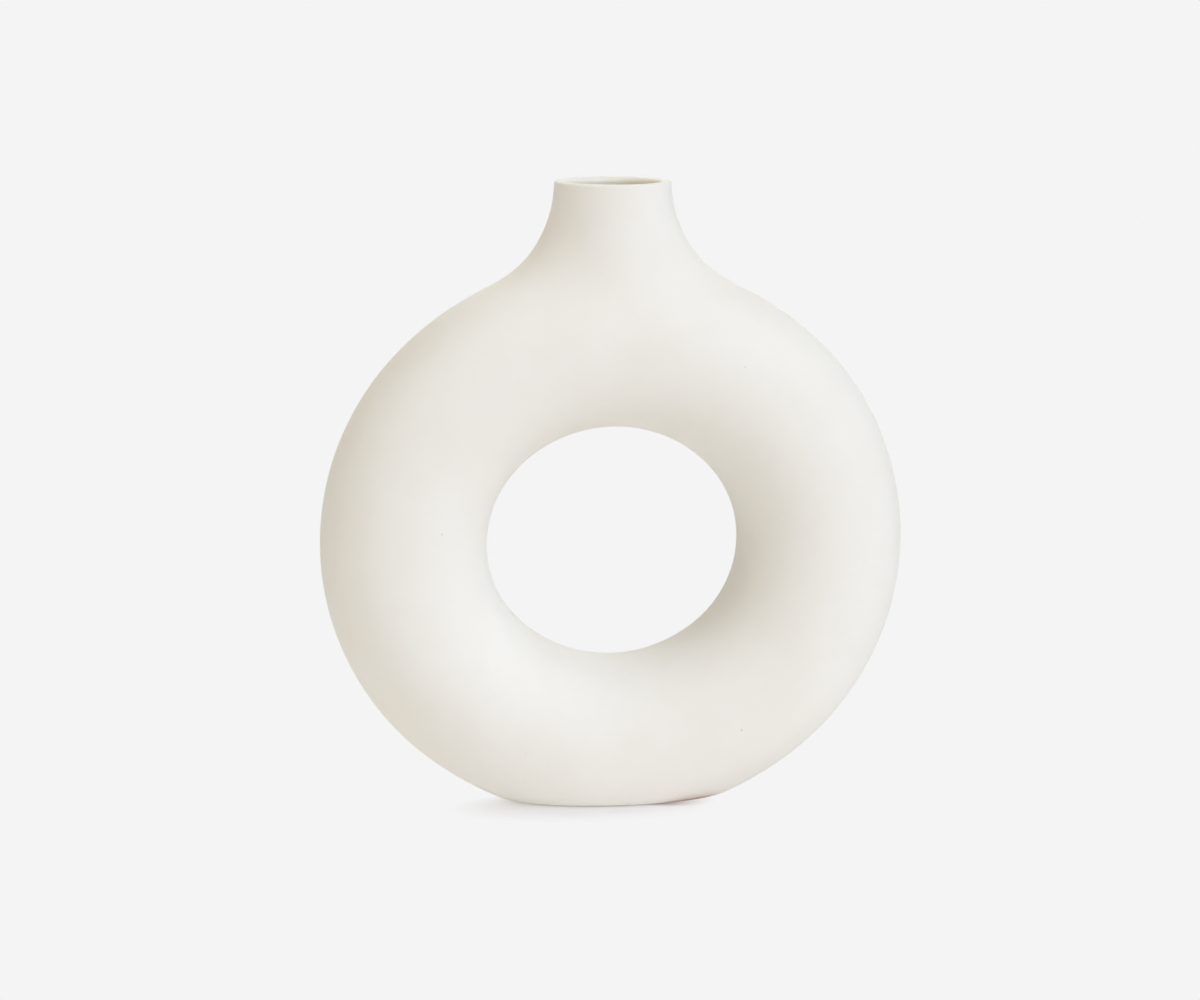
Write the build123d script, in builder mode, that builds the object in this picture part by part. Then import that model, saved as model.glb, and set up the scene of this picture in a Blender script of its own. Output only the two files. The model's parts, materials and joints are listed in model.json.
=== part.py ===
"""Donut vase: an upright hollow ring of stoneware on a flat foot, with a flared neck at its crown.

The clay body is laid out once, as an outer form with a smaller form of the same kind taken out of it.
It is then parted where the clay pieces are joined: two half shells of the ring, a neck collar and a
foot slab, with a layer of slip (liquid clay) left in every joint.

Millimetres. The table is Z = 0, +Z is up, the hole runs along Y and the front faces -Y.
"""

import os
from math import cos, radians, sin, sqrt, tan

from build123d import *

os.makedirs("parts", exist_ok=True)

# Ring
ring_half_width = 84.5  # centre of the hole to the middle of the tube, sideways
ring_half_height = 80.8  # the same upwards: the ring is a slight oval, wider than it is tall
tube_radius = 33.5  # outside of the round tube
wall = 5.0  # clay left around the hollow

# Neck
neck_radius = 23.0  # outside of the neck at the lip
neck_rise = 31.1  # lip above the top of the ring
neck_taper = 3.8  # degrees by which the outside of the neck leans out on its way down
flare_drop = 3.0  # lip down to where the outside begins to flare
mouth_land = 10.0  # lip down to where the inside begins to flare
lip_outer_radius = 0.4 * wall  # rounding of the lip, outside
lip_inner_radius = 0.48 * wall  # rounding of the lip, inside
collar_height = 22.0  # lip down to the joint with the shoulder

# Foot
foot_cut = 9.7  # how far the flat foot cuts into the round of the ring
foot_thickness = 8.5  # slab that closes the ring below
foot_edge_radius = 6.5  # rounding of the edge that the vase stands inside

# Joints
lute = 1.2  # slip between two clay pieces

# Levels above the table
centre_height = ring_half_height + tube_radius - foot_cut
crown_height = centre_height + ring_half_height + tube_radius
lip_height = crown_height + neck_rise
collar_bottom = lip_height - collar_height
shell_top = collar_bottom - lute
shell_bottom = foot_thickness + lute

# The oval is four quarter arcs that meet at 45 degrees; their centres stand off the middle by this much
oval_shift = (ring_half_width - ring_half_height) / (2 - sqrt(2))
crown_arc = ring_half_height + oval_shift
flank_arc = ring_half_width - oval_shift

# Blocks that part the clay: wider than the vase, standing on a level, about the seam or to one side of it
span = 2 * lip_height
upright = (Align.CENTER, Align.CENTER, Align.MIN)
in_front = (Align.CENTER, Align.MAX, Align.MIN)
behind = (Align.CENTER, Align.MIN, Align.MIN)

# Upright plane of the ring, seen from the front, with the hole's centre as its origin
ring_plane = Plane(origin=(0, 0, centre_height), x_dir=(1, 0, 0), z_dir=(0, -1, 0))


def flare_radius(tube, neck, taper, drop):
    """Radius of the flare that leaves the side of the neck below the lip and meets the ring without a kink."""
    crown = crown_arc + tube
    side = neck + drop * tan(taper)
    rise = lip_height - drop - centre_height + oval_shift
    return (side**2 + rise**2 - crown**2) / (2 * (crown - side * cos(taper) - rise * sin(taper)))


def vessel_form(tube, neck, taper, drop):
    """Solid ring with a neck that flows out of its crown and ends level at the lip."""
    neck_base = centre_height + ring_half_height
    neck_base_radius = neck + (lip_height - neck_base) * tan(taper)
    with BuildPart() as form:
        with BuildLine(ring_plane) as centreline:
            CenterArc((oval_shift, 0), flank_arc, 315, 90)
            CenterArc((0, -oval_shift), crown_arc, 45, 90)
            CenterArc((-oval_shift, 0), flank_arc, 135, 90)
            CenterArc((0, oval_shift), crown_arc, 225, 90)
        ring_path = centreline.wire()
        with BuildSketch(Plane(origin=ring_path @ 0, z_dir=ring_path % 0)):
            Circle(tube)
        sweep(path=ring_path)
        # The neck is turned as a left and a right half, so that the flare comes in two open patches
        for half_turn in (180, -180):
            with BuildSketch(Plane.YZ):
                with BuildLine():
                    Polyline(
                        (0, neck_base),
                        (neck_base_radius, neck_base),
                        (neck, lip_height),
                        (0, lip_height),
                        close=True,
                    )
                make_face()
            revolve(axis=Axis.Z, revolution_arc=half_turn, clean=False)
        neck_line = form.edges().filter_by(GeomType.BSPLINE)
        fillet(neck_line, flare_radius(tube, neck, taper, drop))
    return form.part


# Outside of the vase as a solid
outer_form = vessel_form(tube_radius, neck_radius, radians(neck_taper), flare_drop)

# Clay wall around the hollow, still in one piece and without its foot
with BuildPart() as clay_wall:
    add(outer_form)
    add(vessel_form(tube_radius - wall, neck_radius - wall, 0, mouth_land), mode=Mode.SUBTRACT)

# Front half of the ring
with BuildPart() as ring_front_shell:
    add(clay_wall.part)
    with Locations((0, -lute / 2, shell_bottom)):
        Box(span, span, shell_top - shell_bottom, align=in_front, mode=Mode.INTERSECT)
ring_front_shell.part.label = "ring_front_shell"
export_step(ring_front_shell.part, "parts/ring_front_shell.step")

# Rear half of the ring
with BuildPart() as ring_rear_shell:
    add(clay_wall.part)
    with Locations((0, lute / 2, shell_bottom)):
        Box(span, span, shell_top - shell_bottom, align=behind, mode=Mode.INTERSECT)
ring_rear_shell.part.label = "ring_rear_shell"
export_step(ring_rear_shell.part, "parts/ring_rear_shell.step")

# Neck collar, rounded over at the lip
with BuildPart() as neck_collar:
    add(clay_wall.part)
    with Locations((0, 0, collar_bottom)):
        Box(span, span, collar_height, align=upright, mode=Mode.INTERSECT)
    lip_arcs = neck_collar.edges().filter_by(GeomType.CIRCLE).group_by(Axis.Z)[-1].group_by(SortBy.RADIUS)
    fillet(lip_arcs[-1], lip_outer_radius)
    lip_arcs = neck_collar.edges().filter_by(GeomType.CIRCLE).group_by(Axis.Z)[-1].group_by(SortBy.RADIUS)
    fillet(lip_arcs[0], lip_inner_radius)
neck_collar.part.label = "neck_collar"
export_step(neck_collar.part, "parts/neck_collar.step")

# Foot slab, solid right across, its flat underside cut into the round of the ring
with BuildPart() as foot_slab:
    add(outer_form)
    Box(span, span, foot_thickness, align=upright, mode=Mode.INTERSECT)
    fillet(foot_slab.faces().filter_by(Axis.Z).sort_by(Axis.Z)[0].edges(), foot_edge_radius)
foot_slab.part.label = "foot_slab"
export_step(foot_slab.part, "parts/foot_slab.step")

# Slip in the upright seam between the shells: a strip left of the hole, a ring around it, a strip right of it
with BuildPart() as seam:
    add(clay_wall.part)
    with Locations((0, 0, shell_bottom)):
        Box(span, lute, shell_top - shell_bottom, align=upright, mode=Mode.INTERSECT)
left_strip, hole_ring, right_strip = seam.solids().sort_by(Axis.X)

with BuildPart() as outer_lute_left:
    add(left_strip)
outer_lute_left.part.label = "outer_lute_left"
export_step(outer_lute_left.part, "parts/outer_lute_left.step")

with BuildPart() as hole_lute:
    add(hole_ring)
hole_lute.part.label = "hole_lute"
export_step(hole_lute.part, "parts/hole_lute.step")

with BuildPart() as outer_lute_right:
    add(right_strip)
outer_lute_right.part.label = "outer_lute_right"
export_step(outer_lute_right.part, "parts/outer_lute_right.step")

# Slip between the shoulder and the collar
with BuildPart() as neck_lute:
    add(clay_wall.part)
    with Locations((0, 0, shell_top)):
        Box(span, span, lute, align=upright, mode=Mode.INTERSECT)
neck_lute.part.label = "neck_lute"
export_step(neck_lute.part, "parts/neck_lute.step")

# Slip between the shells and the foot slab
with BuildPart() as foot_lute:
    add(clay_wall.part)
    with Locations((0, 0, foot_thickness)):
        Box(span, span, lute, align=upright, mode=Mode.INTERSECT)
foot_lute.part.label = "foot_lute"
export_step(foot_lute.part, "parts/foot_lute.step")
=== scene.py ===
"""Looks of the donut vase: a hand-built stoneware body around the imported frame, and the studio it stands in.

The body is modelled once, as a cage of quads that starts from a torus: its crown is opened and drawn up
into the flared neck, its bottom is opened and closed by the flat foot. The cage is set onto the frame,
given its wall, smoothed, and cut at the frame's joints into the pieces that the potter put together.

Metres. The table is Z = 0, +Z is up, the hole runs along Y and the front faces -Y.
"""

import json
import logging
import math
from contextlib import contextmanager
from dataclasses import dataclass, field
from enum import Enum, IntEnum
from typing import Callable, Iterator

import bmesh
import bpy
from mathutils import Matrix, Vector
from mathutils.bvhtree import BVHTree
from mathutils.interpolate import poly_3d_calc

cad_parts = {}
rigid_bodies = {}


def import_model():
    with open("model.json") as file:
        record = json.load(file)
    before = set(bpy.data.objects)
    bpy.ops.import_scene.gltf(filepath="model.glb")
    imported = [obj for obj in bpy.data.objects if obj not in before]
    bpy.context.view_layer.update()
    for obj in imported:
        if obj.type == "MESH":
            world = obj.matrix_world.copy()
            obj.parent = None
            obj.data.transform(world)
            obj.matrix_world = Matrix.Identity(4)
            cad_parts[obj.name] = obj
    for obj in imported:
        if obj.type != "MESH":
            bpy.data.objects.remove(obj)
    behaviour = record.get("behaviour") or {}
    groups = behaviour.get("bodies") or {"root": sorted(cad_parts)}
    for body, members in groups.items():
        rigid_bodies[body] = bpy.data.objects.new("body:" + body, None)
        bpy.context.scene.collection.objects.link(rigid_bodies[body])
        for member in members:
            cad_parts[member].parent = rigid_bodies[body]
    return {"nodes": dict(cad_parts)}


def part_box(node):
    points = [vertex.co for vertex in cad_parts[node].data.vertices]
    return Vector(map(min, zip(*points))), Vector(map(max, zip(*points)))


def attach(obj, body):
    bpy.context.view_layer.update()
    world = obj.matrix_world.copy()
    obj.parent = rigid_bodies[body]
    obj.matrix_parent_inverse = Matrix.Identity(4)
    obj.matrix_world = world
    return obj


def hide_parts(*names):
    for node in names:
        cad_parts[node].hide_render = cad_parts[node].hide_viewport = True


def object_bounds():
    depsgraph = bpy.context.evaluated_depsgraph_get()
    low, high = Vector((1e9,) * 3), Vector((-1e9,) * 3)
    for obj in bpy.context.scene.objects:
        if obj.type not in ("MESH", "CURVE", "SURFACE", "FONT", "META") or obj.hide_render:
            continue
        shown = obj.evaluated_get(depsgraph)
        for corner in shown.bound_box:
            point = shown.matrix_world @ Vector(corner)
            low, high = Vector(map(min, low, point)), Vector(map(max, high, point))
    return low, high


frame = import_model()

CAD_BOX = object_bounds()
LOG = logging.getLogger("donut_vase")
MM = 0.001
Socket = bpy.types.NodeSocket

# How near a point must lie to a plane, to a cut or to another point to count as on it
ON_PLANE = 0.002 * MM
ON_CUT = 0.0001 * MM
SAME_POINT = 0.001 * MM

# Slack in finding points by their height
SLACK = 0.1 * MM


class Node(Enum):
    """Pieces of the vase, under the names of the frame's nodes."""

    FRONT_SHELL = "ring_front_shell"
    REAR_SHELL = "ring_rear_shell"
    COLLAR = "neck_collar"
    FOOT = "foot_slab"
    HOLE_LUTE = "hole_lute"
    LEFT_LUTE = "outer_lute_left"
    RIGHT_LUTE = "outer_lute_right"
    NECK_LUTE = "neck_lute"
    FOOT_LUTE = "foot_lute"


class Slot(Enum):
    """Material slots of the record."""

    STONEWARE = "stoneware"
    RAW_FOOT = "raw_foot"
    SLIP = "slip"


class Axis(IntEnum):
    """Axis that a cut stands square to, as the index of a coordinate."""

    Y = 1
    Z = 2


class Element(Enum):
    """What is picked in edit mode."""

    EDGE = "EDGE"
    FACE = "FACE"


class Keep(Enum):
    """Side of a cut that stays: the side its plane's normal points to, or the other."""

    AHEAD = "ahead"
    BEHIND = "behind"


@dataclass(frozen=True)
class Cut:
    """A flat cut through the clay.

    Args:
        axis: axis that the plane stands square to.
        place: where the plane stands on that axis.
        keep: side that stays.
    """

    axis: Axis
    place: float
    keep: Keep

    @property
    def normal(self) -> Vector:
        """Unit vector along the axis."""
        return Vector([float(i == self.axis) for i in range(3)])

    def holds(self, point: Vector) -> bool:
        """Whether a point lies on the plane."""
        return abs(point[self.axis] - self.place) < ON_PLANE


def make_active(obj: bpy.types.Object) -> None:
    """Selects one object alone and makes it the active one."""
    bpy.ops.object.select_all(action="DESELECT")
    obj.select_set(True)
    bpy.context.view_layer.objects.active = obj


@contextmanager
def edit_mode(obj: bpy.types.Object) -> Iterator[None]:
    """Runs a block of operators in the edit mode of one object."""
    make_active(obj)
    bpy.ops.object.mode_set(mode="EDIT")
    try:
        yield
    finally:
        bpy.ops.object.mode_set(mode="OBJECT")


def pick(obj: bpy.types.Object, kind: Element, wanted: Callable[..., bool]) -> None:
    """Selects, in edit mode, only the edges or faces that a test accepts.

    Args:
        obj: the object in edit mode.
        kind: whether edges or faces are picked.
        wanted: test of one edge or face.
    """
    bpy.ops.mesh.select_mode(type=kind.value)
    bpy.ops.mesh.select_all(action="DESELECT")
    shape = bmesh.from_edit_mesh(obj.data)
    elements = shape.faces if kind is Element.FACE else shape.edges
    for element in elements:
        if wanted(element):
            element.select_set(True)
    bmesh.update_edit_mesh(obj.data)


def lowest(edge: bmesh.types.BMEdge) -> float:
    """Height of the lower end of an edge."""
    return min(vertex.co.z for vertex in edge.verts)


def weigh(body: bpy.types.Object, name: str, weight: Callable[[Vector], float]) -> None:
    """Weighs the points of a body by their place.

    Args:
        body: the body.
        name: name of the vertex group.
        weight: weight of a point, from 0 to 1.
    """
    group = body.vertex_groups.new(name=name)
    for vertex in body.data.vertices:
        group.add([vertex.index], weight(vertex.co), "REPLACE")


def copy_of(obj: bpy.types.Object, name: str) -> bpy.types.Object:
    """Copies an object with its own mesh.

    Args:
        obj: the object to copy.
        name: name of the copy.

    Returns:
        The copy, linked to the scene.
    """
    twin = obj.copy()
    twin.data = obj.data.copy()
    twin.name = name
    twin.data.name = name
    bpy.context.scene.collection.objects.link(twin)
    return twin


def apply_modifier(obj: bpy.types.Object, kind: str, **settings: object) -> None:
    """Adds a modifier with its settings and applies it at once.

    Args:
        obj: the object that gets the modifier.
        kind: type of modifier.
        settings: values of the modifier, by name.
    """
    modifier = obj.modifiers.new(kind.title(), kind)
    for key, value in settings.items():
        setattr(modifier, key, value)
    make_active(obj)
    bpy.ops.object.modifier_apply(modifier=modifier.name)


@dataclass
class RingFrame:
    """Sizes of the ring, read from the frame's nodes.

    Attributes:
        tube: outside radius of the tube.
        half_width: centre of the hole to the middle of the tube, sideways.
        half_height: the same upwards.
        wall: thickness of the clay.
        centre: height of the hole's centre.
        lip: height of the lip.
    """

    tube: float = field(init=False)
    half_width: float = field(init=False)
    half_height: float = field(init=False)
    wall: float = field(init=False)
    centre: float = field(init=False)
    lip: float = field(init=False)

    def __post_init__(self) -> None:
        """Works the sizes out from the boxes of the nodes."""
        high = CAD_BOX[1]
        inner_low, inner_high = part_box(Node.HOLE_LUTE.value)
        self.tube = high.y
        self.half_width = high.x - self.tube
        hollow = self.half_width - inner_high.x
        self.wall = self.tube - hollow
        self.centre = (inner_low.z + inner_high.z) / 2
        self.half_height = (inner_high.z - inner_low.z) / 2 + hollow
        self.lip = high.z

    def angles(self, point: Vector) -> tuple[float, float]:
        """Finds where a point lies on the tube.

        Args:
            point: a point near the tube.

        Returns:
            The angle round the hole, from +X towards +Z, and the angle across the tube, from its outer edge.
        """
        up = point.z - self.centre
        around = math.atan2(up, point.x)
        across = math.atan2(point.y, math.hypot(point.x, up) - self.half_width)
        return around, across


@dataclass
class Joints:
    """Levels and seam at which the clay pieces meet, read from the layers of slip between them.

    Attributes:
        seam: half the thickness of the upright seam between the shells.
        foot: bottom and top of the joint over the foot slab.
        neck: bottom and top of the joint under the collar.
    """

    seam: float = field(init=False)
    foot: tuple[float, float] = field(init=False)
    neck: tuple[float, float] = field(init=False)

    def __post_init__(self) -> None:
        """Reads the joints from the boxes of the slip nodes."""
        foot_low, foot_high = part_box(Node.FOOT_LUTE.value)
        neck_low, neck_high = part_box(Node.NECK_LUTE.value)
        self.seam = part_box(Node.HOLE_LUTE.value)[1].y
        self.foot = (foot_low.z, foot_high.z)
        self.neck = (neck_low.z, neck_high.z)

    @staticmethod
    def between(low: float, high: float) -> list[Cut]:
        """The two level cuts that leave a layer.

        Args:
            low: bottom of the layer.
            high: top of the layer.

        Returns:
            The cuts, bottom first.
        """
        return [Cut(Axis.Z, low, Keep.AHEAD), Cut(Axis.Z, high, Keep.BEHIND)]

    def holds(self, points: list[Vector]) -> bool:
        """Whether points all lie on the plane of one joint face."""
        planes = [Cut(Axis.Y, side * self.seam, Keep.AHEAD) for side in (-1, 1)]
        planes += [Cut(Axis.Z, level, Keep.AHEAD) for level in (*self.foot, *self.neck)]
        return any(all(plane.holds(point) for point in points) for plane in planes)

    def cuts(self, node: Node) -> list[Cut]:
        """The cuts that part one piece from the body.

        Args:
            node: the piece. The three slip layers of the seam share their cuts.

        Returns:
            The cuts in the order in which they are made.
        """
        ring = self.between(self.foot[1], self.neck[0])
        parting = {
            Node.FRONT_SHELL: [Cut(Axis.Y, -self.seam, Keep.BEHIND), *ring],
            Node.REAR_SHELL: [Cut(Axis.Y, self.seam, Keep.AHEAD), *ring],
            Node.COLLAR: [Cut(Axis.Z, self.neck[1], Keep.AHEAD)],
            Node.FOOT: [Cut(Axis.Z, self.foot[0], Keep.BEHIND)],
            Node.NECK_LUTE: self.between(*self.neck),
            Node.FOOT_LUTE: self.between(*self.foot),
        }
        seam = [Cut(Axis.Y, -self.seam, Keep.AHEAD), Cut(Axis.Y, self.seam, Keep.BEHIND), *ring]
        return parting.get(node, seam)


@dataclass
class VaseBody:
    """Clay body of the vase, modelled whole before it is cut into its pieces.

    Args:
        ring: sizes of the ring.
        joints: where the pieces meet.
        around: quads of the cage round the hole.
        across: quads of the cage round the tube.
        crown_span: quads opened for the neck, each way from its middle, round the hole and round the tube.
        foot_span: the same for the foot.
        neck_loops: loops of quads between the shoulder and the lip.
        lip_roll: height of the last loop, which ends at the lip.
        lip_edge: rounding of the lip's outer edge.
        lip_round: rounding of the lip towards the mouth.
        foot_loops: loops of the foot, as shares of the oval where the flat would cut the bare ring.
        foot_lift: height of the first of them; the others lie on the table.
        foot_fade: height over which the swell and the hand work come in, starting at half of it.
        settle_rounds: how often the cage is set on the frame, with the neck relaxed in between.
        relax_steps: steps of each relaxing.
        relax_share: how far each step goes.
        swell: how far the cage stands off the frame, so that smoothing brings it back.
        smooth_levels: levels of smoothing.
        hand_height: largest unevenness that the potter's hands left.
        hand_size: size of those dents and swells.
    """

    ring: RingFrame
    joints: Joints
    around: int = 64
    across: int = 28
    crown_span: tuple[int, int] = (3, 4)
    foot_span: tuple[int, int] = (5, 5)
    neck_loops: int = 6
    lip_roll: float = 2.4 * MM
    lip_edge: float = 1.0 * MM
    lip_round: float = 1.6 * MM
    foot_loops: tuple[tuple[float, float], ...] = ((1.035, 1.10), (1.0, 1.0), (0.97, 0.885), (0.88, 0.74))
    foot_lift: float = 1.0 * MM
    foot_fade: float = 8 * MM
    settle_rounds: int = 4
    relax_steps: int = 3
    relax_share: float = 0.5
    swell: float = 0.18 * MM
    smooth_levels: int = 2
    hand_height: float = 0.3 * MM
    hand_size: float = 34 * MM
    hollow: bpy.types.Object = field(init=False)
    solid: bpy.types.Object = field(init=False)

    def build(self, outside: bpy.types.Material, inside: bpy.types.Material) -> None:
        """Models the body twice from one cage: with its hollow, and solid for the foot slab.

        Args:
            outside: finish of the outside and the lip.
            inside: finish of the hollow.
        """
        cage = self._ring_cage()
        self._raise_neck(cage)
        self._close_foot(cage)
        self._settle(cage)
        cage.data.materials.append(outside)
        cage.data.materials.append(inside)
        self.solid = copy_of(cage, "solid_body")
        self.hollow = cage
        self.hollow.name = "hollow_body"
        apply_modifier(
            self.hollow,
            "SOLIDIFY",
            thickness=self.ring.wall,
            offset=-1.0,
            use_even_offset=True,
            use_quality_normals=True,
            material_offset=1,
            material_offset_rim=0,
        )
        self._edge_lip(self.hollow)
        for body in (self.hollow, self.solid):
            self._smooth(body)

    def discard(self) -> None:
        """Takes the whole bodies away once the pieces are cut."""
        for body in (self.hollow, self.solid):
            bpy.data.objects.remove(body)

    def _ring_cage(self) -> bpy.types.Object:
        """Stands a torus up and opens it at the crown and at the foot.

        Returns:
            The cage, with its place in its mesh.
        """
        bpy.ops.object.select_all(action="DESELECT")
        bpy.ops.mesh.primitive_torus_add(
            major_segments=self.around,
            minor_segments=self.across,
            major_radius=self.ring.half_width,
            minor_radius=self.ring.tube,
            location=(0.0, 0.0, self.ring.centre),
            rotation=(math.pi / 2, 0.0, 0.0),
        )
        cage = bpy.context.active_object
        bpy.ops.object.transform_apply(location=True, rotation=True, scale=True)
        with edit_mode(cage):
            self._open(cage, math.pi / 2, self.crown_span)
            self._open(cage, -math.pi / 2, self.foot_span)
            bpy.ops.mesh.select_all(action="SELECT")
            bpy.ops.transform.resize(
                value=(1.0, 1.0, self.ring.half_height / self.ring.half_width),
                center_override=(0.0, 0.0, self.ring.centre),
            )
        return cage

    def _open(self, cage: bpy.types.Object, middle: float, span: tuple[int, int]) -> None:
        """Takes a patch of quads off the outside of the round ring.

        Args:
            cage: the ring, in edit mode.
            middle: angle round the hole at which the patch lies.
            span: quads each way from the middle, round the hole and round the tube.
        """
        reach = (span[0] * math.tau / self.around, span[1] * math.tau / self.across)

        def in_patch(face: bmesh.types.BMFace) -> bool:
            """Whether a quad belongs to the patch."""
            around, across = self.ring.angles(face.calc_center_median())
            return abs(math.remainder(around - middle, math.tau)) < reach[0] and abs(across) < reach[1]

        pick(cage, Element.FACE, in_patch)
        bpy.ops.mesh.delete(type="FACE")

    def _join_loop(
        self, cage: bpy.types.Object, count: int, radii: tuple[float, float], height: float, cuts: int
    ) -> None:
        """Draws an oval loop and bridges it to the open edge on its side of the ring.

        Args:
            cage: the cage, in edit mode.
            count: points of the loop, as many as the open edge has.
            radii: half axes of the loop along X and Y.
            height: level of the loop.
            cuts: loops of quads added in between.
        """
        bpy.ops.mesh.select_all(action="DESELECT")
        place = (0.0, 0.0, height)
        bpy.ops.mesh.primitive_circle_add(vertices=count, radius=1.0, fill_type="NOTHING", location=place)
        bpy.ops.transform.resize(value=(radii[0], radii[1], 1.0), center_override=place)
        above = height > self.ring.centre

        def open_here(edge: bmesh.types.BMEdge) -> bool:
            """Whether an edge is open and on the loop's side of the ring."""
            high = edge.verts[0].co.z > self.ring.centre
            return high == above and (edge.is_boundary or edge.is_wire)

        pick(cage, Element.EDGE, open_here)
        bpy.ops.mesh.bridge_edge_loops(number_cuts=cuts, interpolation="LINEAR")

    def _raise_neck(self, cage: bpy.types.Object) -> None:
        """Draws the crown up into the neck, with a last narrow loop under the lip."""
        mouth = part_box(Node.COLLAR.value)[1]
        neck = self._neck_radius()
        count = 4 * sum(self.crown_span)
        roll = mouth.z - self.lip_roll
        with edit_mode(cage):
            self._join_loop(cage, count, (neck, neck), roll, self.neck_loops)
            pick(cage, Element.EDGE, lambda edge: edge.is_boundary and lowest(edge) > roll - SLACK)
            # The hand work may raise the lip by half its height
            rise = self.lip_roll - self.hand_height / 2
            bpy.ops.mesh.extrude_edges_move(TRANSFORM_OT_translate={"value": (0.0, 0.0, rise)})

    def _edge_lip(self, body: bpy.types.Object) -> None:
        """Rounds the lip, a little at its outer edge and more towards the mouth."""
        middle = self._neck_radius() - self.ring.wall / 2
        # Above the roll's lower loop, so that only the edges of the lip itself are picked
        in_roll = self._below_lip(0.7)

        def sides(edge: bmesh.types.BMEdge) -> set[bool]:
            """Which sides of the lip's middle an edge touches: outer is True."""
            return {math.hypot(v.co.x, v.co.y) > middle for v in edge.verts}

        with edit_mode(body):
            for outer, rounding in ((True, self.lip_edge), (False, self.lip_round)):
                pick(body, Element.EDGE, lambda edge: lowest(edge) > in_roll and sides(edge) == {outer})
                bpy.ops.mesh.bevel(offset=rounding, segments=2, affect="EDGES")

    def _below_lip(self, rolls: float) -> float:
        """Level that lies under the lip by a number of times the height of its roll."""
        return self.ring.lip - rolls * self.lip_roll

    def _neck_radius(self) -> float:
        """Outside radius of the collar just below the lip's rounding."""
        collar = frame["nodes"][Node.COLLAR.value].data.vertices
        near_lip = self._below_lip(1.5)
        return max(math.hypot(v.co.x, v.co.y) for v in collar if v.co.z > near_lip)

    def _close_foot(self, cage: bpy.types.Object) -> None:
        """Bridges the open bottom to the edge of the foot, rounds it under and closes the flat."""
        ring = self.ring
        outer = (ring.half_width + ring.tube, ring.half_height + ring.tube)
        length = outer[0] * math.sqrt(1.0 - (ring.centre / outer[1]) ** 2)
        width = math.sqrt(ring.tube**2 - (ring.centre - ring.half_height) ** 2)
        loops = [(length * share[0], width * share[1]) for share in self.foot_loops]
        with edit_mode(cage):
            self._join_loop(cage, 4 * sum(self.foot_span), loops[0], self.foot_lift, cuts=1)
            pick(cage, Element.EDGE, lambda edge: edge.is_boundary and lowest(edge) < ring.centre)
            for before, after in zip(loops, loops[1:]):
                bpy.ops.mesh.extrude_edges_move(TRANSFORM_OT_translate={"value": (0.0, 0.0, 0.0)})
                scale = (after[0] / before[0], after[1] / before[1], 0.0)
                bpy.ops.transform.resize(value=scale, center_override=(0.0, 0.0, 0.0))
            bpy.ops.mesh.edge_face_add()
            bpy.ops.mesh.select_all(action="SELECT")
            bpy.ops.mesh.normals_make_consistent(inside=False)

    def _settle(self, cage: bpy.types.Object) -> None:
        """Sets the cage on the frame, relaxes the neck between rounds, and swells it against smoothing."""
        skin = self._frame_skin()
        # The roll is left as it is drawn, because the frame already rounds over there
        under_roll = self._below_lip(1.2)
        shoulder = self.ring.centre + self.ring.half_height
        reach = 2.0 * self.ring.tube
        weigh(cage, "on_frame", lambda p: float(p.z < under_roll))
        weigh(cage, "neck", lambda p: float(shoulder < p.z < under_roll and abs(p.x) < reach))
        weigh(cage, "clear_of_foot", lambda p: min(1.0, max(0.0, p.z / self.foot_fade - 0.5)))
        for turn in range(self.settle_rounds):
            if turn:
                apply_modifier(
                    cage,
                    "SMOOTH",
                    factor=self.relax_share,
                    iterations=self.relax_steps,
                    vertex_group="neck",
                )
            apply_modifier(
                cage,
                "SHRINKWRAP",
                target=skin,
                wrap_method="NEAREST_SURFACEPOINT",
                wrap_mode="ON_SURFACE",
                vertex_group="on_frame",
            )
        bpy.data.objects.remove(skin)
        apply_modifier(cage, "DISPLACE", mid_level=0.0, strength=self.swell, vertex_group="clear_of_foot")

    def _frame_skin(self) -> bpy.types.Object:
        """Joins copies of the frame's nodes into one skin, without their joints and the hollow.

        Returns:
            The outside of the frame, welded where the nodes' triangles meet.
        """
        copies = [copy_of(node, f"skin_{name}") for name, node in frame["nodes"].items()]
        bpy.ops.object.select_all(action="DESELECT")
        for copy in copies:
            copy.parent = None
            copy.select_set(True)
        bpy.context.view_layer.objects.active = copies[0]
        bpy.ops.object.join()
        with edit_mode(copies[0]):
            bpy.ops.mesh.select_all(action="SELECT")
            bpy.ops.mesh.remove_doubles(threshold=SAME_POINT)
            pick(copies[0], Element.FACE, lambda face: not self._faces_out(face))
            bpy.ops.mesh.delete(type="FACE")
        return copies[0]

    def _faces_out(self, face: bmesh.types.BMFace) -> bool:
        """Whether a face of the frame belongs to its outside."""
        if self.joints.holds([vertex.co for vertex in face.verts]):
            return False
        spot = face.calc_center_median()
        around, _ = self.ring.angles(spot)
        sideways = self.ring.half_width * math.cos(around)
        core = Vector((sideways, 0.0, self.ring.centre + self.ring.half_height * math.sin(around)))
        return face.normal.dot(spot - core) > 0.0

    def _smooth(self, body: bpy.types.Object) -> None:
        """Smooths a body and leaves the slight unevenness of hand work on it."""
        apply_modifier(body, "SUBSURF", levels=self.smooth_levels, render_levels=self.smooth_levels)
        hands = bpy.data.textures.new("hand_work", "CLOUDS")
        hands.noise_scale = self.hand_size
        hands.noise_depth = 1
        apply_modifier(
            body,
            "DISPLACE",
            texture=hands,
            texture_coords="LOCAL",
            mid_level=0.5,
            strength=self.hand_height,
            vertex_group="clear_of_foot",
        )
        body.data.shade_smooth()


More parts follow.
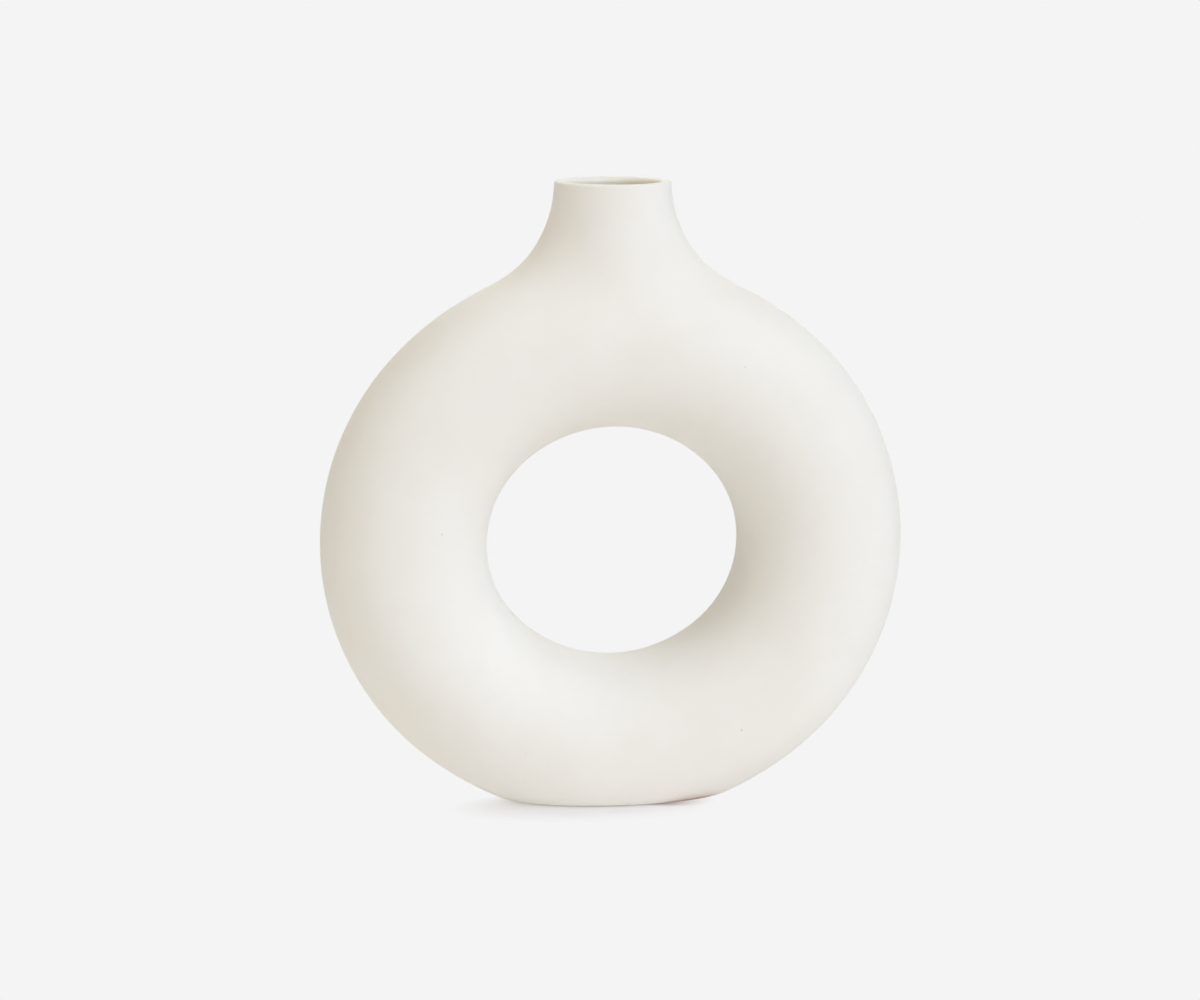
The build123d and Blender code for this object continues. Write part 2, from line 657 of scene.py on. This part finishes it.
@dataclass
class Potter:
    """Cuts the pieces out of the body, so that their joints stay smooth to the eye.

    Args:
        body: the whole body.
    """

    body: VaseBody

    def cut(self, node: Node, name: str, solid: bool = False) -> bpy.types.Object:
        """Cuts one piece.

        Args:
            node: the frame's node that the piece stands for.
            name: name of the piece.
            solid: whether it is cut from the solid body.

        Returns:
            The piece, closed where it was cut.
        """
        whole = self.body.solid if solid else self.body.hollow
        piece = copy_of(whole, name)
        cuts = self.body.joints.cuts(node)
        with edit_mode(piece):
            for cut in cuts:
                bpy.ops.mesh.select_all(action="SELECT")
                bpy.ops.mesh.bisect(
                    plane_co=cut.normal * cut.place,
                    plane_no=cut.normal,
                    use_fill=True,
                    threshold=ON_CUT,
                    clear_inner=cut.keep is Keep.AHEAD,
                    clear_outer=cut.keep is Keep.BEHIND,
                )
        self._keep_smooth(piece, whole, cuts)
        return piece

    @staticmethod
    def split(pieces: bpy.types.Object) -> list[bpy.types.Object]:
        """Parts an object into its loose islands.

        Args:
            pieces: the object.

        Returns:
            The islands from left to right.
        """
        before = set(bpy.data.objects)
        with edit_mode(pieces):
            bpy.ops.mesh.select_all(action="SELECT")
            bpy.ops.mesh.separate(type="LOOSE")
        islands = [pieces, *(set(bpy.data.objects) - before)]
        return sorted(islands, key=lambda o: sum(v.co.x for v in o.data.vertices) / len(o.data.vertices))

    @staticmethod
    def _keep_smooth(piece: bpy.types.Object, whole: bpy.types.Object, cuts: list[Cut]) -> None:
        """Gives the skin along the cuts the shading of the whole body, and the cut faces a flat one.

        Args:
            piece: the piece.
            whole: the body that it was cut from.
            cuts: the cuts.
        """
        points = [vertex.co for vertex in whole.data.vertices]
        normals = [vertex.normal for vertex in whole.data.vertices]
        faces = [tuple(face.vertices) for face in whole.data.polygons]
        tree = BVHTree.FromPolygons(points, faces)
        mesh = piece.data
        shading = [Vector()] * len(mesh.loops)
        for face in mesh.polygons:
            corners = [mesh.vertices[i].co for i in face.vertices]
            if any(all(cut.holds(corner) for corner in corners) for cut in cuts):
                face.use_smooth = False
                continue
            for loop, corner in zip(face.loop_indices, corners):
                if any(cut.holds(corner) for cut in cuts):
                    spot, _, index, _ = tree.find_nearest(corner)
                    shares = poly_3d_calc([points[i] for i in faces[index]], spot)
                    blend = sum((normals[i] * share for i, share in zip(faces[index], shares)), Vector())
                    shading[loop] = blend.normalized()
        mesh.normals_split_custom_set(shading)


def socket(group: bpy.types.NodeTree, name: str, kind: str, way: str, value: object = None) -> None:
    """Adds a named socket to a node group.

    Args:
        group: the node group.
        name: name of the socket.
        kind: Float, Color or Vector.
        way: INPUT or OUTPUT.
        value: value of an input that nothing feeds.
    """
    made = group.interface.new_socket(name=name, in_out=way, socket_type=f"NodeSocket{kind}")
    if value is not None:
        made.default_value = value


@dataclass(frozen=True)
class Tone:
    """A colour in linear light.

    Args:
        red: level of red.
        green: level of green.
        blue: level of blue.
    """

    red: float
    green: float
    blue: float

    @classmethod
    def grey(cls, level: float) -> "Tone":
        """A grey of one level."""
        return cls(level, level, level)

    @property
    def rgba(self) -> tuple[float, float, float, float]:
        """The colour as a node socket takes it."""
        return (self.red, self.green, self.blue, 1.0)


@dataclass(frozen=True)
class Noise:
    """A cloudy pattern.

    Args:
        scale: clouds per metre.
        detail: how many finer patterns lie over it.
        rough: how strongly those show.
    """

    scale: float
    detail: float
    rough: float


@dataclass(frozen=True)
class Spots:
    """Round spots scattered over cells.

    Args:
        scale: cells per metre.
        size: radius of a spot, as a share of its cell.
        share: share of the cells that hold a spot.
        core: share of its radius within which a spot is full.
    """

    scale: float
    size: float
    share: float
    core: float = 0.45


@dataclass(frozen=True)
class Wiring:
    """Adds shader nodes to a tree and links them.

    Args:
        tree: the node tree.
    """

    tree: bpy.types.NodeTree

    def feed(self, node: bpy.types.Node, name: str | int, feed: object) -> None:
        """Links a socket to an input of a node, or sets the input to a value.

        Args:
            node: the node.
            name: name or number of the input.
            feed: the socket or the value.
        """
        if isinstance(feed, Socket):
            self.tree.links.new(feed, node.inputs[name])
        else:
            node.inputs[name].default_value = feed

    def add(self, kind: str, feeds: dict[str | int, object], **settings: object) -> bpy.types.Node:
        """Adds a node.

        Args:
            kind: type of the node.
            feeds: sockets and values for its inputs, by name or number.
            settings: its other settings, by name.

        Returns:
            The node.
        """
        node = self.tree.nodes.new(f"ShaderNode{kind}")
        for name, value in settings.items():
            setattr(node, name, value)
        for name, feed in feeds.items():
            self.feed(node, name, feed)
        return node

    def noise(self, place: Socket, noise: Noise) -> Socket:
        """Adds a noise and returns its value."""
        feeds = {"Vector": place, "Scale": noise.scale, "Detail": noise.detail, "Roughness": noise.rough}
        return self.add("TexNoise", feeds).outputs["Fac"]

    def ramp(
        self,
        value: Socket,
        source: tuple[float, float],
        result: tuple[float, float],
        easing: str = "SMOOTHSTEP",
    ) -> Socket:
        """Maps a value from one range to another.

        Args:
            value: the value.
            source: range that it comes from.
            result: range that it is brought to.
            easing: how it goes from one end to the other.

        Returns:
            The socket with the mapped value.
        """
        feeds = {"Value": value, "From Min": source[0], "From Max": source[1]}
        feeds |= {"To Min": result[0], "To Max": result[1]}
        return self.add("MapRange", feeds, interpolation_type=easing).outputs["Result"]

    def maths(self, kind: str, first: Socket, second: Socket | float) -> Socket:
        """Joins two values by an operation."""
        return self.add("Math", {0: first, 1: second}, operation=kind).outputs["Value"]

    def blend(self, share: Socket, first: Socket, second: Socket) -> Socket:
        """Mixes two colours by the share of the second."""
        feeds = {"Factor": share, "A": first, "B": second}
        return self.add("Mix", feeds, data_type="RGBA").outputs["Result"]

    def spots(self, place: Socket, spots: Spots) -> Socket:
        """Scatters spots and returns a value that is 1 in the middle of each."""
        cells = self.add("TexVoronoi", {"Vector": place, "Scale": spots.scale})
        lot = self.add("SeparateColor", {"Color": cells.outputs["Color"]})
        chosen = self.maths("LESS_THAN", lot.outputs["Red"], spots.share)
        dot = self.ramp(cells.outputs["Distance"], (spots.core * spots.size, spots.size), (1.0, 0.0))
        return self.maths("MULTIPLY", dot, chosen)

    def cover(self, share: Socket, first: Socket, second: Socket | None = None) -> Socket:
        """Mixes two shaders by the share of the second, which is black if there is none."""
        feeds = {"Fac": share, 1: first}
        if second is not None:
            feeds[2] = second
        return self.add("MixShader", feeds).outputs["Shader"]


class Effect:
    """A node group that is built once and shared by the materials."""

    NAME: str

    @classmethod
    def group(cls) -> bpy.types.NodeTree:
        """Builds the group on its first use.

        Returns:
            The group.
        """
        made = bpy.data.node_groups.get(cls.NAME)
        if made is None:
            made = bpy.data.node_groups.new(cls.NAME, "ShaderNodeTree")
            cls._lay_out(made)
        return made

    @classmethod
    def _lay_out(cls, tree: bpy.types.NodeTree) -> None:
        """Adds the sockets and nodes of the group."""
        raise NotImplementedError


class ClayGrain(Effect):
    """Fired clay: cloudy tone, grog specks, and the dry grain and pinholes of the skin."""

    NAME = "clay_grain"

    # Tone
    CLOUDS = Noise(26.0, 3.0, 0.55)
    CLOUD_EDGES = (0.38, 0.66)
    VEIL = Noise(140.0, 3.0, 0.6)
    VEIL_EDGES = (0.4, 0.65)
    VEIL_SHARE = 0.35
    SPECKS = Spots(85.0, 0.05, 0.10)

    # Skin, as shares of the finish's depth
    GRAIN = Noise(1500.0, 2.0, 0.6)
    GRAIN_DEPTH = 0.35
    TOOTH = Noise(420.0, 3.0, 0.55)
    TOOTH_DEPTH = 0.65
    PITS = Spots(230.0, 0.16, 0.10)
    PIT_DEPTH = 0.8

    # How much the roughness changes with the tooth
    DRY_SWING = 0.16

    @classmethod
    def _lay_out(cls, tree: bpy.types.NodeTree) -> None:
        """Adds colour, roughness and height, from the place on the piece."""
        socket(tree, "Place", "Vector", "INPUT")
        socket(tree, "Clay", "Color", "INPUT", (0.8, 0.8, 0.8, 1.0))
        socket(tree, "Cloud", "Color", "INPUT", (0.7, 0.7, 0.7, 1.0))
        socket(tree, "Speck", "Color", "INPUT", (0.2, 0.2, 0.2, 1.0))
        socket(tree, "Speck Amount", "Float", "INPUT", 0.5)
        socket(tree, "Dryness", "Float", "INPUT", 0.7)
        socket(tree, "Color", "Color", "OUTPUT")
        socket(tree, "Roughness", "Float", "OUTPUT")
        socket(tree, "Height", "Float", "OUTPUT")
        wire = Wiring(tree)
        given = tree.nodes.new("NodeGroupInput")
        result = tree.nodes.new("NodeGroupOutput")
        place = given.outputs["Place"]

        clouds = wire.ramp(wire.noise(place, cls.CLOUDS), cls.CLOUD_EDGES, (0.0, 1.0))
        veil = wire.ramp(wire.noise(place, cls.VEIL), cls.VEIL_EDGES, (0.0, cls.VEIL_SHARE))
        cloudy = wire.maths("MAXIMUM", clouds, veil)
        tone = wire.blend(cloudy, given.outputs["Clay"], given.outputs["Cloud"])
        specks = wire.maths("MULTIPLY", wire.spots(place, cls.SPECKS), given.outputs["Speck Amount"])
        wire.feed(result, "Color", wire.blend(specks, tone, given.outputs["Speck"]))

        tooth = wire.noise(place, cls.TOOTH)
        fine = wire.maths("MULTIPLY", wire.noise(place, cls.GRAIN), cls.GRAIN_DEPTH)
        skin = wire.maths("ADD", fine, wire.maths("MULTIPLY", tooth, cls.TOOTH_DEPTH))
        pits = wire.maths("MULTIPLY", wire.spots(place, cls.PITS), cls.PIT_DEPTH)
        wire.feed(result, "Height", wire.maths("SUBTRACT", skin, pits))

        dry = wire.maths("ADD", wire.maths("MULTIPLY", tooth, cls.DRY_SWING), -cls.DRY_SWING / 2)
        wire.feed(result, "Roughness", wire.maths("ADD", dry, given.outputs["Dryness"]))


class FootRub(Effect):
    """Underside of a foot: bare clay, rubbed flat on a wet stone and scuffed by tables."""

    NAME = "foot_rub"

    # Heights between which the rubbing fades out, and how patchy it is
    RUBBED = (0.1 * MM, 0.7 * MM)
    SCUFFS = Noise(90.0, 6.0, 0.7)
    SCUFF_EDGES = (0.3, 0.7)
    SCUFF_SHARES = (0.55, 1.0)

    @classmethod
    def _lay_out(cls, tree: bpy.types.NodeTree) -> None:
        """Adds a colour that is worn at the table and clay above it."""
        socket(tree, "Place", "Vector", "INPUT")
        socket(tree, "Clay", "Color", "INPUT", (0.8, 0.8, 0.8, 1.0))
        socket(tree, "Worn", "Color", "INPUT", (0.6, 0.6, 0.6, 1.0))
        socket(tree, "Color", "Color", "OUTPUT")
        wire = Wiring(tree)
        given = tree.nodes.new("NodeGroupInput")
        result = tree.nodes.new("NodeGroupOutput")
        place = given.outputs["Place"]
        height = wire.add("SeparateXYZ", {"Vector": place}).outputs["Z"]
        low = wire.ramp(height, cls.RUBBED, (1.0, 0.0))
        patchy = wire.ramp(wire.noise(place, cls.SCUFFS), cls.SCUFF_EDGES, cls.SCUFF_SHARES, "LINEAR")
        worn = wire.maths("MULTIPLY", low, patchy)
        wire.feed(result, "Color", wire.blend(worn, given.outputs["Clay"], given.outputs["Worn"]))


@dataclass(frozen=True)
class Finish:
    """A finish of the fired clay.

    Args:
        name: name of the material.
        clay: main tone.
        cloud: tone of the faint clouds in it.
        speck: tone of the specks.
        specks: how strongly the specks show.
        dryness: roughness.
        tooth: depth of the grain.
        specular: strength of the reflection.
        worn: tone of the bare clay where the piece stands on the table, if it does.
    """

    name: str
    clay: Tone
    cloud: Tone
    speck: Tone = Tone(0.30, 0.24, 0.17)
    specks: float = 0.35
    dryness: float = 0.7
    tooth: float = 0.06 * MM
    specular: float = 0.3
    worn: Tone | None = None

    def material(self) -> bpy.types.Material:
        """Builds the material.

        Returns:
            The material, with the clay's grain behind its colour, roughness and bump.
        """
        made = bpy.data.materials.new(self.name)
        made.use_nodes = True
        wire = Wiring(made.node_tree)
        shader = made.node_tree.nodes["Principled BSDF"]
        place = wire.add("TexCoord", {}).outputs["Object"]
        feeds = {
            "Place": place,
            "Clay": self.clay.rgba,
            "Cloud": self.cloud.rgba,
            "Speck": self.speck.rgba,
            "Speck Amount": self.specks,
            "Dryness": self.dryness,
        }
        grain = wire.add("Group", feeds, node_tree=ClayGrain.group())
        colour = grain.outputs["Color"]
        if self.worn:
            feeds = {"Place": place, "Clay": colour, "Worn": self.worn.rgba}
            colour = wire.add("Group", feeds, node_tree=FootRub.group()).outputs["Color"]
        feeds = {"Height": grain.outputs["Height"], "Strength": 1.0, "Distance": self.tooth}
        bump = wire.add("Bump", feeds)
        wire.feed(shader, "Base Color", colour)
        wire.feed(shader, "Roughness", grain.outputs["Roughness"])
        wire.feed(shader, "Specular IOR Level", self.specular)
        wire.feed(shader, "Normal", bump.outputs["Normal"])
        return made


BISQUE = Finish("matte_bisque", Tone(0.90, 0.882, 0.82), Tone(0.885, 0.86, 0.79))
SMOOTHED_SLIP = Finish("smoothed_slip", BISQUE.clay, BISQUE.cloud)
RUBBED_FOOT = Finish("rubbed_foot", BISQUE.clay, BISQUE.cloud, worn=Tone(0.70, 0.655, 0.575))
LINER = Finish(
    "liner_glaze",
    Tone(0.94, 0.90, 0.79),
    Tone(0.92, 0.87, 0.75),
    specks=0.3,
    dryness=0.42,
    tooth=0.02 * MM,
    specular=0.4,
)


@dataclass
class VasePieces:
    """The nine pieces of the vase, cut from the body and dressed.

    Args:
        potter: cuts the pieces.
        slip: material of the joints.
        foot: material of the foot slab.
    """

    potter: Potter
    slip: bpy.types.Material
    foot: bpy.types.Material

    def shells(self) -> None:
        """Cuts the two halves of the ring."""
        self._place(self.potter.cut(Node.FRONT_SHELL, "front_shell"), Node.FRONT_SHELL, Slot.STONEWARE)
        self._place(self.potter.cut(Node.REAR_SHELL, "rear_shell"), Node.REAR_SHELL, Slot.STONEWARE)

    def collar(self) -> None:
        """Cuts the collar with the lip."""
        self._place(self.potter.cut(Node.COLLAR, "collar"), Node.COLLAR, Slot.STONEWARE)

    def foot_slab(self) -> None:
        """Cuts the foot slab from the solid body."""
        slab = self.potter.cut(Node.FOOT, "foot", solid=True)
        slab.data.materials[0] = self.foot
        self._place(slab, Node.FOOT, Slot.RAW_FOOT)

    def lutes(self) -> None:
        """Cuts the layers of slip in the joints."""
        seam = self.potter.split(self.potter.cut(Node.HOLE_LUTE, "seam"))
        layers = dict(zip((Node.LEFT_LUTE, Node.HOLE_LUTE, Node.RIGHT_LUTE), seam))
        for node in (Node.NECK_LUTE, Node.FOOT_LUTE):
            layers[node] = self.potter.cut(node, node.value)
        for node, layer in layers.items():
            layer.name = f"{node.value}_slip"
            layer.data.materials[0] = self.slip
            self._place(layer, node, Slot.SLIP)

    @staticmethod
    def _place(piece: bpy.types.Object, node: Node, slot: Slot) -> None:
        """Makes a piece stand for its node and ride on the frame.

        Args:
            piece: the piece.
            node: the node that it stands for.
            slot: the record's material slot; not used.
        """
        piece.data.name = piece.name
        piece.vertex_groups.clear()
        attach(piece, "root")
        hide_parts(node.value)
        LOG.info("%s stands for %s: %d faces", piece.name, node.value, len(piece.data.polygons))


@dataclass(frozen=True)
class Lamp:
    """A wide, soft light, far enough off to fall evenly on the vase and on the floor around it.

    Args:
        name: name of the lamp.
        azimuth: where it stands round the vase, in degrees from +X towards +Y.
        elevation: how high it stands, in degrees.
        tone: how bright a white card that faces it becomes.
        spread: how wide it is, in degrees.
    """

    name: str
    azimuth: float
    elevation: float
    tone: Tone
    spread: float = 40.0

    def hang(self) -> None:
        """Adds the lamp and turns it to the vase."""
        data = bpy.data.lights.new(self.name, "SUN")
        data.energy = math.pi
        data.color = self.tone.rgba[:3]
        data.angle = math.radians(self.spread)
        lamp = bpy.data.objects.new(self.name, data)
        round_vase, up = math.radians(self.azimuth), math.radians(self.elevation)
        flat = math.cos(up)
        toward = Vector((flat * math.cos(round_vase), flat * math.sin(round_vase), math.sin(up)))
        lamp.location = toward
        lamp.rotation_euler = toward.to_track_quat("Z", "Y").to_euler()
        bpy.context.scene.collection.objects.link(lamp)


@dataclass(frozen=True)
class Oval:
    """A soft oval on the floor.

    Args:
        middle: its centre.
        ratio: its length along X over its width.
        reach: half lengths along X between which it fades out.
    """

    middle: tuple[float, float]
    ratio: float
    reach: tuple[float, float]

    def fade(self, wire: Wiring, inside: float, outside: float) -> Socket:
        """Adds nodes for a value that changes from the inside of the oval to the outside.

        Args:
            wire: wiring of the floor's material.
            inside: value inside.
            outside: value outside.

        Returns:
            The socket with the value.
        """
        place = wire.add("TexCoord", {}).outputs["Object"]
        shift = (-self.middle[0], -self.middle[1] * self.ratio, 0.0)
        feeds = {"Vector": place, "Location": shift, "Scale": (1.0, self.ratio, 1.0)}
        rounded = wire.add("Mapping", feeds).outputs["Vector"]
        distance = wire.add("VectorMath", {0: rounded}, operation="LENGTH").outputs["Value"]
        return wire.ramp(distance, self.reach, (inside, outside))


@dataclass
class Studio:
    """Pale floor, soft light and the camera at the photograph's angle.

    Args:
        backdrop: grey of the floor and the background as the camera sees them.
        floor_size: width of the floor.
        floor_drop: how far it lies under the foot, so that the two don't share a plane.
        paper: grey of the floor's sheet.
        glow: light that the sheet gives off by itself, painted light that makes the floor bounce more light
            onto the vase.
        painted_shade_patch: oval under the right end of the foot where a dark sheet takes the place of the lit
            paper and its glow, as painted contact shade.
        painted_shade_tone: warm dark colour of that sheet, the painted contact shade.
        shadow: where the camera sees the floor's real shading.
        shadow_share: how much of it the camera sees there.
        shadow_depth: how much darker than lit the camera sees the sheet there, painted shade mixed in from
            black.
        lamps: the lamps.
        ambient: even light from all round.
        camera_place: where the camera stands.
        camera_turn: how far it looks to the right of straight ahead, in degrees.
        camera_tilt: how far it looks down, in degrees.
        lens: focal length of the camera, in millimetres.
        sensor: width of its sensor, in millimetres.
        sight: how far it sees.
    """

    backdrop: Tone = Tone.grey(0.905)
    floor_size: float = 80.0
    floor_drop: float = 0.02 * MM
    paper: Tone = Tone.grey(0.82)
    glow: Tone = Tone(0.20, 0.186, 0.176)
    # Painted contact shade: a warm dark sheet on the floor under the right end of the foot
    painted_shade_patch: Oval = Oval((25 * MM, -14 * MM), 1.6, (10 * MM, 20 * MM))
    painted_shade_tone: Tone = Tone(0.42, 0.19, 0.04)
    shadow: Oval = Oval((-14 * MM, -20 * MM), 2.4, (22 * MM, 58 * MM))
    shadow_share: float = 0.9
    shadow_depth: float = 0.13
    lamps: tuple[Lamp, ...] = (
        Lamp("window", -45.0, 35.0, Tone(0.375, 0.431, 0.535)),
        Lamp("front_sheet", -90.0, 35.0, Tone(0.205, 0.185, 0.165)),
        Lamp("ceiling", 0.0, 88.0, Tone(0.235, 0.229, 0.206)),
        Lamp("left_sheet", 180.0, 20.0, Tone(0.146, 0.142, 0.132)),
        Lamp("rear_sheet", 90.0, 30.0, Tone(0.22, 0.22, 0.20)),
    )
    ambient: Tone = Tone(0.12, 0.10, 0.075)
    camera_place: tuple[float, float, float] = (-0.1259, -1.1084, 0.3349)
    camera_turn: float = 6.22
    camera_tilt: float = 10.828
    lens: float = 84.55
    sensor: float = 36.0
    sight: float = 200.0

    def build(self) -> None:
        """Sets the studio up."""
        self._world()
        self._floor()
        for lamp in self.lamps:
            lamp.hang()
        self._camera()
        bpy.context.scene.view_settings.view_transform = "Standard"

    @staticmethod
    def _seen(wire: Wiring) -> Socket:
        """Adds nodes that tell a seen or mirrored ray from a lighting ray.

        Args:
            wire: wiring of a material or the world.

        Returns:
            A socket that is 1 for camera, glossy and transmission rays.
        """
        path = wire.add("LightPath", {}).outputs
        mirrored = wire.maths("MAXIMUM", path["Is Glossy Ray"], path["Is Transmission Ray"])
        return wire.maths("MAXIMUM", path["Is Camera Ray"], mirrored)

    def _world(self) -> None:
        """Even light from all round, behind the backdrop's grey."""
        world = bpy.data.worlds.new("studio")
        bpy.context.scene.world = world
        world.use_nodes = True
        nodes = world.node_tree.nodes
        wire = Wiring(world.node_tree)
        light = nodes["Background"]
        wire.feed(light, "Color", self.ambient.rgba)
        shown = wire.add("Background", {"Color": self.backdrop.rgba})
        mixed = wire.cover(self._seen(wire), light.outputs["Background"], shown.outputs["Background"])
        wire.feed(nodes["World Output"], "Surface", mixed)

    def _floor(self) -> None:
        """Lays a wide floor under the vase."""
        bpy.ops.object.select_all(action="DESELECT")
        bpy.ops.mesh.primitive_plane_add(size=self.floor_size, location=(0.0, 0.0, -self.floor_drop))
        floor = bpy.context.active_object
        floor.name = "floor"
        floor.data.materials.append(self._sheet())

    def _sheet(self) -> bpy.types.Material:
        """Paper that shows the backdrop's grey and, at the foot, the vase's shadow, with a dark sheet under
        the right end of the foot as painted contact shade.

        Returns:
            The material of the floor.
        """
        sheet = bpy.data.materials.new("floor_paper")
        sheet.use_nodes = True
        nodes = sheet.node_tree.nodes
        nodes.remove(nodes["Principled BSDF"])
        wire = Wiring(sheet.node_tree)
        paper = wire.add("BsdfDiffuse", {"Color": self.paper.rgba}).outputs["BSDF"]
        # The sheet glows: painted light that makes the floor bounce more light onto the vase
        glow = wire.add("Emission", {"Color": self.glow.rgba}).outputs["Emission"]
        lit = wire.add("AddShader", {0: paper, 1: glow}).outputs["Shader"]
        # A dark warm sheet without glow under the right end of the foot, in place of the lit paper: painted
        # contact shade
        shade = wire.add("BsdfDiffuse", {"Color": self.painted_shade_tone.rgba}).outputs["BSDF"]
        table = wire.cover(self.painted_shade_patch.fade(wire, 0.0, 1.0), shade, lit)
        seen = self._seen(wire)
        # Seen rays get the sheet mixed with black: painted shade on top of its real shading
        dimmed = wire.cover(wire.maths("MULTIPLY", seen, self.shadow_depth), table)
        shown = wire.add("Emission", {"Color": self.backdrop.rgba}).outputs["Emission"]
        clear = self.shadow.fade(wire, 1.0 - self.shadow_share, 1.0)
        mixed = wire.cover(wire.maths("MULTIPLY", seen, clear), dimmed, shown)
        wire.feed(nodes["Material Output"], "Surface", mixed)
        return sheet

    def _camera(self) -> None:
        """Stands the camera where the photograph was taken from."""
        data = bpy.data.cameras.new("camera")
        data.lens = self.lens
        data.sensor_width = self.sensor
        data.clip_end = self.sight
        camera = bpy.data.objects.new("camera", data)
        camera.location = self.camera_place
        camera.rotation_euler = (math.radians(90.0 - self.camera_tilt), 0.0, math.radians(-self.camera_turn))
        bpy.context.scene.collection.objects.link(camera)
        bpy.context.scene.camera = camera


def main() -> None:
    """Models the vase, dresses it and sets up the studio."""
    logging.basicConfig(level=logging.INFO, format="%(name)s: %(message)s")
    ring = RingFrame()
    body = VaseBody(ring, Joints())
    body.build(BISQUE.material(), LINER.material())
    pieces = VasePieces(Potter(body), SMOOTHED_SLIP.material(), RUBBED_FOOT.material())
    pieces.shells()
    pieces.collar()
    pieces.foot_slab()
    pieces.lutes()
    body.discard()
    Studio().build()


if __name__ == "__main__":
    main()
